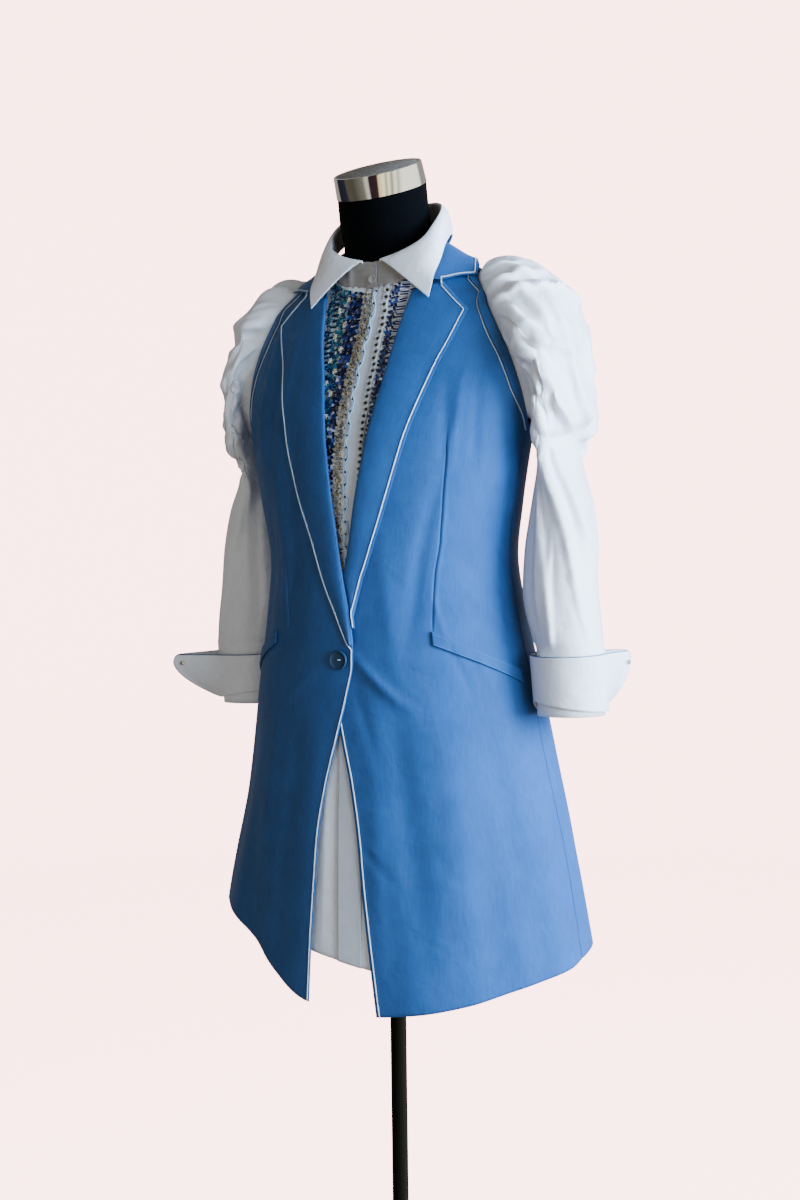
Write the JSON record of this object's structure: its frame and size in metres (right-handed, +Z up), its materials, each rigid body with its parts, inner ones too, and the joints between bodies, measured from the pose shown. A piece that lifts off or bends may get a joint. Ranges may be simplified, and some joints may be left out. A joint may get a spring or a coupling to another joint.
{
  "type": "blazer dress on a dress form stand",
  "caption": "Blazer dress with notch lapels, one button, a beaded white shirt front and puff sleeves, on a limbless dress form with a pole and a round base.",
  "frame": {"origin": "centre of the base plate's underside, on the pole's axis", "axes": "+Z up along the pole; the dress faces -Y; the wearer's left is +X"},
  "size_m": [0.5489, 0.362, 1.5326],
  "materials": {
    "suiting": "matt blue crepe suiting",
    "shirting": "white satin-faced cotton",
    "placket_satin": "white satin ribbon",
    "dyed_button": "slate blue resin button, sewn through its holes",
    "cord_trim": "twisted white cord and thread",
    "sequins": "glossy cupped sequins and bugle beads",
    "metal_beads": "silvered and old gold beads",
    "piping": "grey blue piping",
    "form_cover": "black stretch jersey",
    "chrome": "polished nickel plate",
    "cap_top": "speckled grey moulding",
    "black_metal": "satin black powder coat"
  },
  "bodies": {
    "root": {"base_plate": "black_metal", "pole": "black_metal", "neck_cap": "chrome", "form_torso": "form_cover", "front_left": "suiting", "front_right": "suiting", "back_left": "suiting", "back_right": "suiting", "lapel_left": "suiting", "lapel_right": "suiting", "blazer_collar": "suiting", "armhole_band_left": "suiting", "armhole_band_right": "suiting", "pocket_welt_left": "suiting", "pocket_welt_right": "suiting", "button": "dyed_button", "shirt_front_left": "shirting", "shirt_front_right": "shirting", "placket": "placket_satin", "shirt_collar": "shirting", "shirt_collar_stand": "shirting", "sleeve_left": "shirting", "sleeve_right": "shirting", "cuff_left": "shirting", "cuff_right": "shirting", "stud_left": "chrome", "stud_right": "chrome"}
  },
  "joints": []
}
